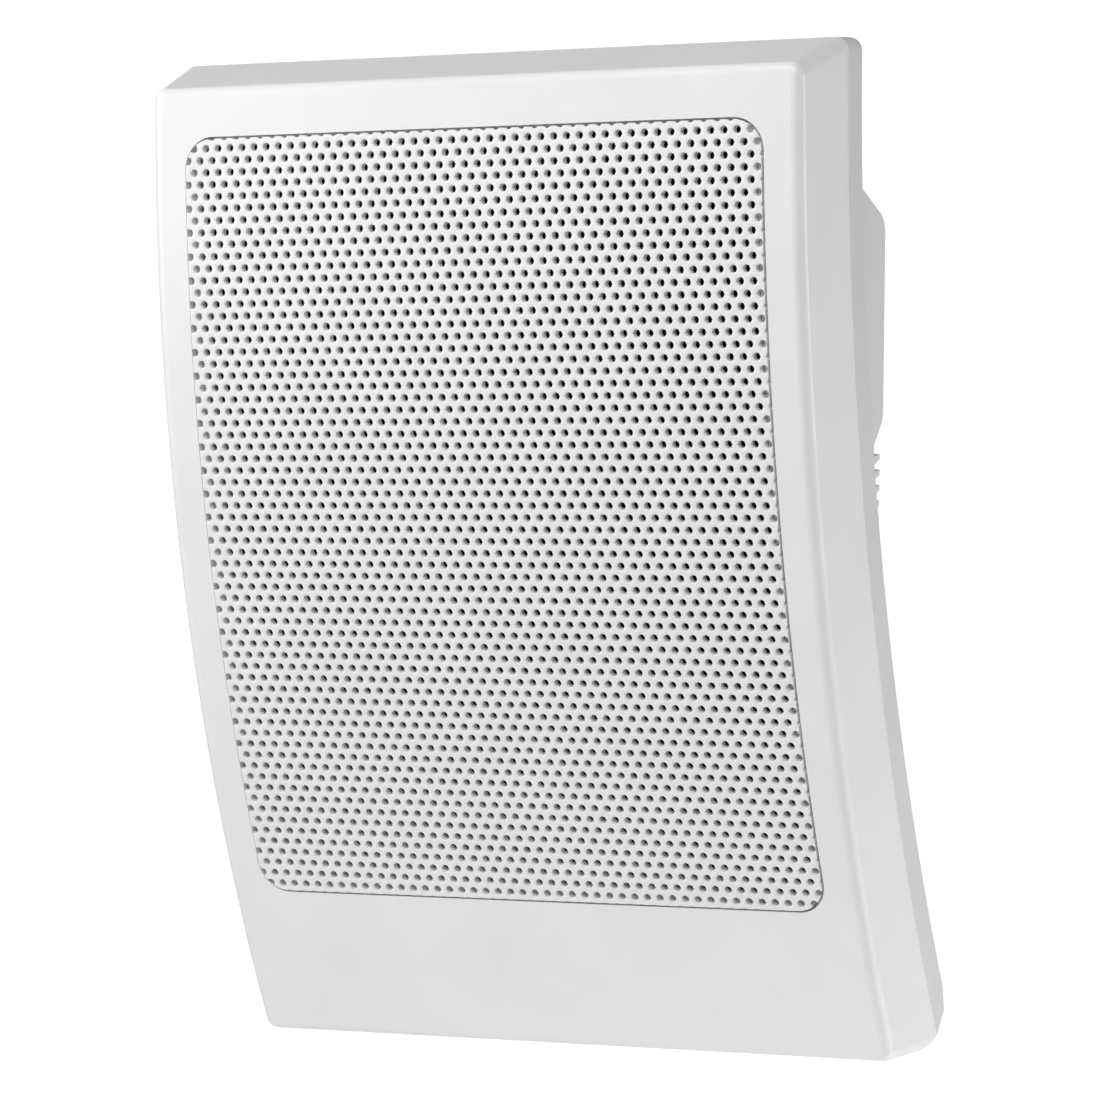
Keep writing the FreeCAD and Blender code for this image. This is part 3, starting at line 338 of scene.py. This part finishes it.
def black_paper():
    """Black paper pulp with loose fibres."""
    return speckled(
        "black_paper", grey(0.008), grey(0.02), tone_scale=900, gloss=(0.75, 0.95),
        grain_scale=1200, grain_depth=0.15 * MM, grain_strength=0.6)


def woven_cloth():
    """Resin-stiffened open cloth."""
    return speckled(
        "woven_cloth", (0.36, 0.22, 0.09), (0.55, 0.38, 0.18), tone_scale=1400, gloss=(0.6, 0.8),
        grain_scale=1800, grain_depth=0.12 * MM, grain_strength=0.7)


def copper_wire():
    """Close turns of enamelled copper."""
    return speckled(
        "copper_wire", (0.42, 0.14, 0.05), (0.62, 0.26, 0.11), tone_scale=1500, gloss=(0.25, 0.4),
        grain_scale=2600, grain_depth=0.06 * MM, grain_strength=0.5, metal=0.8)


def plated_steel():
    """Zinc plated steel, a little uneven."""
    return speckled(
        "plated_steel", (0.5, 0.5, 0.48), (0.66, 0.66, 0.64), tone_scale=400, gloss=(0.28, 0.42),
        grain_scale=1800, grain_depth=0.03 * MM, grain_strength=0.3, metal=1.0)


def ferrite():
    """Dark grey sintered ferrite and varnished laminations."""
    return speckled(
        "ferrite", grey(0.03), grey(0.07), tone_scale=700, gloss=(0.5, 0.7),
        grain_scale=1600, grain_depth=0.08 * MM, grain_strength=0.5)


def brown_board():
    """Brown phenolic board."""
    return speckled(
        "brown_board", (0.14, 0.06, 0.025), (0.22, 0.11, 0.05), tone_scale=600, gloss=(0.4, 0.55),
        grain_scale=1500, grain_depth=0.05 * MM, grain_strength=0.4)


def grey_plastic():
    """Pale grey moulded plastic."""
    return speckled(
        "grey_plastic", grey(0.36), grey(0.42), tone_scale=200, gloss=(0.4, 0.55),
        grain_scale=2200, grain_depth=0.04 * MM, grain_strength=0.3)


def lead_sleeve():
    """Red wire insulation."""
    return speckled(
        "lead_sleeve", (0.32, 0.012, 0.01), (0.42, 0.02, 0.016), tone_scale=500, gloss=(0.3, 0.42),
        grain_scale=2000, grain_depth=0.03 * MM, grain_strength=0.3)


FINISHES = [
    white_housing, white_grille, black_board, black_rubber, black_steel, black_paper, woven_cloth,
    copper_wire, plated_steel, ferrite, brown_board, grey_plastic, lead_sleeve,
]
MATERIALS = {make.__name__: make() for make in FINISHES}


def dress_cad_nodes():
    """Each CAD node gets the material of its slot."""
    for row in frame["record"]["subparts"]:
        mesh = frame["nodes"][row["node"]].data
        mesh.materials.clear()
        mesh.materials.append(MATERIALS[row["material_slot"]])


# Grille

def add_ring(sides, radius, depth):
    """Adds an upright ring of corners, at a depth behind the face."""
    upright = (math.radians(90), 0, 0)
    bpy.ops.mesh.primitive_circle_add(vertices=sides, radius=radius, location=(0, depth, 0), rotation=upright)


def pick_rings(tile, *rings):
    """Selects the edges of a tile's rings, each found by its radius and depth."""
    bpy.ops.mesh.select_all(action="DESELECT")
    mesh = bmesh.from_edit_mesh(tile.data)
    for edge in mesh.edges:
        for radius, depth in rings:
            off = [math.hypot(corner.co.x, corner.co.z) - radius for corner in edge.verts]
            back = [corner.co.y - depth for corner in edge.verts]
            if max(abs(gap) for gap in off + back) < RING_TOLERANCE:
                edge.select_set(True)
    bmesh.update_edit_mesh(tile.data)


def hole_tile():
    """One six-sided tile of the flat grille, whose hole has a lip that narrows to a straight throat."""
    corner = HOLE_PITCH / math.sqrt(3)
    mouth = HOLE_MOUTH / 2
    throat = HOLE_DIAMETER / 2
    throat_length = GRILLE_THICKNESS - HOLE_RIM_DEPTH
    deselect_all()
    add_ring(TILE_SIDES, corner, 0)
    tile = bpy.context.object
    settle(tile, Matrix.Identity(4))
    edit(tile)
    bpy.ops.mesh.select_mode(type="EDGE")
    add_ring(HOLE_SIDES, mouth, 0)
    pick_rings(tile, (corner, 0), (mouth, 0))
    bpy.ops.mesh.fill()
    pick_rings(tile, (mouth, 0))
    bpy.ops.mesh.extrude_edges_move(TRANSFORM_OT_translate={"value": (0, HOLE_RIM_DEPTH, 0)})
    bpy.ops.transform.resize(value=(throat / mouth, 1, throat / mouth), center_override=(0, 0, 0))
    bpy.ops.mesh.extrude_edges_move(TRANSFORM_OT_translate={"value": (0, throat_length, 0)})
    add_ring(TILE_SIDES, corner, GRILLE_THICKNESS)
    pick_rings(tile, (throat, GRILLE_THICKNESS), (corner, GRILLE_THICKNESS))
    bpy.ops.mesh.fill()
    bpy.ops.mesh.select_mode(type="VERT")
    close_edit()
    settle(tile, Matrix.Scale(HOLE_ROW / (HOLE_PITCH * math.sqrt(3) / 2), 4, (0, 0, 1)))
    return tile


def lay_tiles(tile):
    """Rows of tiles, every other row half a pitch along, made one closed sheet."""
    runs = [
        (HOLE_COLUMNS, (HOLE_PITCH, 0, 0)),
        (2, (HOLE_PITCH / 2, 0, HOLE_ROW)),
        (HOLE_ROW_PAIRS, (0, 0, 2 * HOLE_ROW)),
    ]
    for count, step in runs:
        finish_modifier(tile, "ARRAY", count=count, use_relative_offset=False, use_constant_offset=True,
                        constant_offset_displace=step)
    edit(tile)
    bpy.ops.mesh.remove_doubles(threshold=TILE_WELD)
    bpy.ops.mesh.select_mode(type="EDGE")
    bpy.ops.mesh.select_all(action="DESELECT")
    mesh = bmesh.from_edit_mesh(tile.data)
    for edge in mesh.edges:
        if edge.is_boundary and edge.verts[0].co.y < GRILLE_THICKNESS / 2:
            edge.select_set(True)
    bmesh.update_edit_mesh(tile.data)
    bpy.ops.mesh.extrude_edges_move(TRANSFORM_OT_translate={"value": (0, GRILLE_THICKNESS, 0)})
    bpy.ops.mesh.select_mode(type="VERT")
    bpy.ops.mesh.select_all(action="SELECT")
    bpy.ops.mesh.remove_doubles(threshold=TILE_WELD)
    bpy.ops.mesh.normals_make_consistent(inside=False)
    close_edit()
    across = HOLE_COLUMNS // 2 * HOLE_PITCH + HOLES_LEFT_OF_CENTRE
    down = HOLE_ROW_PAIRS // 2 * 2 * HOLE_ROW + HOLES_BELOW_CENTRE
    settle(tile, Matrix.Translation((-across, 0, -down)))


def trim_to_outline(sheet, half_height):
    """Cuts the flat sheet to a rounded rectangle with a block of that outline."""
    deselect_all()
    bpy.ops.mesh.primitive_plane_add(size=1, rotation=(math.radians(90), 0, 0))
    block = bpy.context.object
    block.location = ((GRILLE_RIGHT - GRILLE_LEFT) / 2, -GRILLE_THICKNESS, 0)
    block.scale = (GRILLE_LEFT + GRILLE_RIGHT, 2 * half_height, 1)
    settle(block, Matrix.Identity(4))
    edit(block)
    bpy.ops.mesh.bevel(offset=GRILLE_CORNER, segments=CORNER_SIDES, affect="VERTICES")
    bpy.ops.mesh.select_all(action="SELECT")
    block_depth = 3 * GRILLE_THICKNESS
    bpy.ops.mesh.extrude_region_move(TRANSFORM_OT_translate={"value": (0, block_depth, 0)})
    bpy.ops.mesh.select_all(action="SELECT")
    bpy.ops.mesh.normals_make_consistent(inside=False)
    close_edit()
    finish_modifier(sheet, "BOOLEAN", object=block, operation="INTERSECT", solver="MANIFOLD")
    bpy.data.objects.remove(block)


def grille():
    """The bowed, finely perforated sheet."""
    sheet = hole_tile()
    lay_tiles(sheet)
    arc_half = FRONT_RADIUS * math.asin(GRILLE_HALF_HEIGHT / FRONT_RADIUS)
    trim_to_outline(sheet, arc_half)
    bow = 2 * arc_half / FRONT_RADIUS
    finish_modifier(sheet, "SIMPLE_DEFORM", deform_method="BEND", deform_axis="X", angle=bow)
    settle(sheet, CABINET)
    smooth(sheet, GRILLE_CREASE)
    named(sheet, "perforated_grille", "white_grille", "grille")
    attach(sheet, "cabinet")


# Driver's flexible rings

def ring_sizes(node):
    """A driver ring's corners as (radius, y) about the driver's axis, and the axis's height."""
    corners = corners_of(node, CABINET)
    heights = [corner.z for corner in corners]
    axis = (min(heights) + max(heights)) / 2
    return [(math.hypot(corner.x, corner.z - axis), corner.y) for corner in corners], axis


def with_wall(line, wall):
    """The closed outline of a sheet whose back follows a line of (radius, y) points."""
    return line + [(radius, y - wall) for radius, y in reversed(line)]


def flexing(ring, name, slot, node, axis):
    """Sets a ring on the driver's axis, smooths it, gives it its name and slot and puts its place into its
    mesh.
    """
    home = CABINET @ Matrix.Translation((0, 0, axis))
    settle(ring, home)
    smooth(ring, RING_CREASE)
    named(ring, name, slot, node)
    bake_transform(ring)


def surround():
    """The rubber half roll between the cone's rim and the basket."""
    sizes, axis = ring_sizes("driver_surround")
    outer = max(radius for radius, y in sizes)
    inner = min(radius for radius, y in sizes)
    outer_y = max(y for radius, y in sizes)
    inner_y = max(y for radius, y in sizes if radius < inner + SURROUND_LIP / 2)
    crest = inner_y - SURROUND_REACH
    roll = interpolate_bezier(
        Vector((outer - SURROUND_LIP, outer_y)), Vector((outer - SURROUND_LIP, crest)),
        Vector((inner + SURROUND_LIP, crest)), Vector((inner + SURROUND_LIP, inner_y)), SURROUND_STEPS)
    line = [(outer, outer_y)] + [(point.x, point.y) for point in roll] + [(inner, inner_y)]
    ring = turned(with_wall(line, SURROUND_WALL), RING_SIDES)
    flexing(ring, "rubber_surround", "black_rubber", "driver_surround", axis)


def spider():
    """The corrugated cloth disc that centres the coil."""
    sizes, axis = ring_sizes("driver_spider")
    outer = max(radius for radius, y in sizes)
    inner = min(radius for radius, y in sizes)
    base = max(y for radius, y in sizes)
    shelf = outer - SPIDER_LANDING
    line = [(outer, base)]
    for step in range(SPIDER_WAVES * WAVE_STEPS + 1):
        share = step / (SPIDER_WAVES * WAVE_STEPS)
        wave = SPIDER_WAVE * (1 - math.cos(math.radians(360) * SPIDER_WAVES * share)) / 2
        line.append((shelf + (inner - shelf) * share, base - SPIDER_CUP * share - wave))
    ring = turned(with_wall(line, SPIDER_WALL), RING_SIDES)
    flexing(ring, "cloth_spider", "woven_cloth", "driver_spider", axis)


# Screws

def screw_outline(length):
    """Half a pan-head screw from tip to domed head, as (radius, y) points with the head's seat at 0."""
    outline = [(0, -length), (SCREW_TIP, -length)]
    y = -length + SCREW_TIP_LENGTH
    while y < -SCREW_NECK - SCREW_PITCH:
        outline += [(SCREW_CORE, y), (SCREW_CREST, y + SCREW_PITCH / 2)]
        y += SCREW_PITCH
    outline += [(SCREW_CORE, y), (SCREW_CORE, 0), (SCREW_HEAD, 0)]
    for step in range(HEAD_STEPS + 1):
        angle = math.radians(90) * step / HEAD_STEPS
        radius = SCREW_HEAD_FLAT + (SCREW_HEAD - SCREW_HEAD_FLAT) * math.cos(angle)
        rise = HEAD_EDGE_SHARE + (1 - HEAD_EDGE_SHARE) * math.sin(angle)
        outline.append((radius, SCREW_HEAD_HEIGHT * rise))
    return outline + [(0, SCREW_HEAD_HEIGHT)]


def cross_recess(screw):
    """Cuts the driver's cross into a head with two blades."""
    for turn in (0, math.radians(90)):
        deselect_all()
        bpy.ops.mesh.primitive_cube_add(size=1, location=(0, SCREW_HEAD_HEIGHT, 0), rotation=(0, turn, 0))
        blade = bpy.context.object
        blade.scale = (RECESS_LENGTH, 2 * RECESS_DEPTH, RECESS_WIDTH)
        finish_modifier(screw, "BOOLEAN", object=blade, operation="DIFFERENCE", solver="EXACT")
        bpy.data.objects.remove(blade)


def screw_places(node, home):
    """Where a group's screws sit in their own frame: the heads' seats and the length below them."""
    groups = []
    for corner in corners_of(node, home):
        for group in groups:
            if math.hypot(corner.x - group[0].x, corner.z - group[0].z) < 2 * SCREW_HEAD:
                group.append(corner)
                break
        else:
            groups.append([corner])
    places = []
    for group in groups:
        low = Vector(min(corner[k] for corner in group) for k in range(3))
        high = Vector(max(corner[k] for corner in group) for k in range(3))
        seat = high.y - SCREW_HEAD_HEIGHT
        places.append((Vector(((low.x + high.x) / 2, seat, (low.z + high.z) / 2)), seat - low.y))
    return places


def screws(node, home):
    """A group of equal cross-head screws, each turned a little differently."""
    places = screw_places(node, home)
    first = turned(screw_outline(places[0][1]), SCREW_SIDES)
    cross_recess(first)
    smooth(first, SCREW_CREASE)
    copies = [first]
    for place in places[1:]:
        copy = first.copy()
        copy.data = first.data.copy()
        bpy.context.scene.collection.objects.link(copy)
        copies.append(copy)
    for number, (copy, (place, length)) in enumerate(zip(copies, places)):
        settle(copy, home @ Matrix.Translation(place) @ Matrix.Rotation(SCREW_TURN * number, 4, "Y"))
    deselect_all()
    for copy in copies:
        copy.select_set(True)
    bpy.context.view_layer.objects.active = first
    bpy.ops.object.join()
    named(first, "cross_head_" + node, "plated_steel", node)
    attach(first, "cabinet")


def all_screws():
    """The cabinet's own screws lean with it, and the ones in the rear box point at the wall."""
    for node in ("shell_screws", "baffle_screws", "driver_screws"):
        screws(node, CABINET)
    screws("inner_screws", Matrix.Rotation(math.radians(180), 4, "Z"))


# Studio

def seen_as_paper(tree, lit, paper, output):
    """What lights the part stays as it is, and the camera sees plain white paper."""
    paper.inputs["Color"].default_value = (1, 1, 1, 1)
    paper.inputs["Strength"].default_value = PAPER_WHITE
    either = tree.nodes.new("ShaderNodeMixShader")
    path = tree.nodes.new("ShaderNodeLightPath")
    tree.links.new(path.outputs["Is Camera Ray"], either.inputs["Fac"])
    tree.links.new(lit, either.inputs[1])
    tree.links.new(paper.outputs[0], either.inputs[2])
    tree.links.new(either.outputs["Shader"], output)


def floor():
    """A wide pale floor below the part."""
    deselect_all()
    bpy.ops.mesh.primitive_plane_add(size=FLOOR_SIZE, location=(0, 0, FLOOR_LEVEL))
    ground = bpy.context.object
    ground.name = "floor"
    material = bpy.data.materials.new("pale_floor")
    material.use_nodes = True
    tree = material.node_tree
    shader = tree.nodes["Principled BSDF"]
    shader.inputs["Base Color"].default_value = (*grey(FLOOR_GREY), 1)
    shader.inputs["Roughness"].default_value = FLOOR_ROUGHNESS
    paper = tree.nodes.new("ShaderNodeEmission")
    seen_as_paper(tree, shader.outputs["BSDF"], paper, tree.nodes["Material Output"].inputs["Surface"])
    ground.data.materials.append(material)


def soft_light(name, turn, rise, distance, size, power):
    """A square light turned to the part, out of the camera's sight."""
    across, up = math.radians(turn), math.radians(rise)
    way = Vector((math.cos(up) * math.sin(across), -math.cos(up) * math.cos(across), math.sin(up)))
    lamp = bpy.data.lights.new(name, "AREA")
    lamp.size = size
    lamp.energy = power
    holder = bpy.data.objects.new(name, lamp)
    holder.location = STUDIO_MIDDLE + way * distance
    holder.rotation_euler = (-way).to_track_quat("-Z", "Y").to_euler()
    holder.visible_camera = False
    bpy.context.scene.collection.objects.link(holder)


def studio():
    """Soft lights all round the part, in a dim white room."""
    for row in SOFT_LIGHTS:
        soft_light(*row)
    world = bpy.data.worlds.new("room")
    bpy.context.scene.world = world
    world.use_nodes = True
    tree = world.node_tree
    room = tree.nodes["Background"]
    room.inputs["Color"].default_value = (1, 1, 1, 1)
    room.inputs["Strength"].default_value = ROOM_LIGHT
    paper = tree.nodes.new("ShaderNodeBackground")
    seen_as_paper(tree, room.outputs["Background"], paper, tree.nodes["World Output"].inputs["Surface"])
    bpy.context.scene.view_settings.view_transform = "Standard"


def camera():
    """The photo's view."""
    data = bpy.data.cameras.new("camera")
    data.lens = CAMERA_LENS
    data.sensor_width = CAMERA_SENSOR
    holder = bpy.data.objects.new("camera", data)
    holder.location = CAMERA_PLACE
    holder.rotation_euler = CAMERA_TURN
    bpy.context.scene.collection.objects.link(holder)
    bpy.context.scene.camera = holder


dress_cad_nodes()
grille()
surround()
spider()
all_screws()
floor()
studio()
camera()
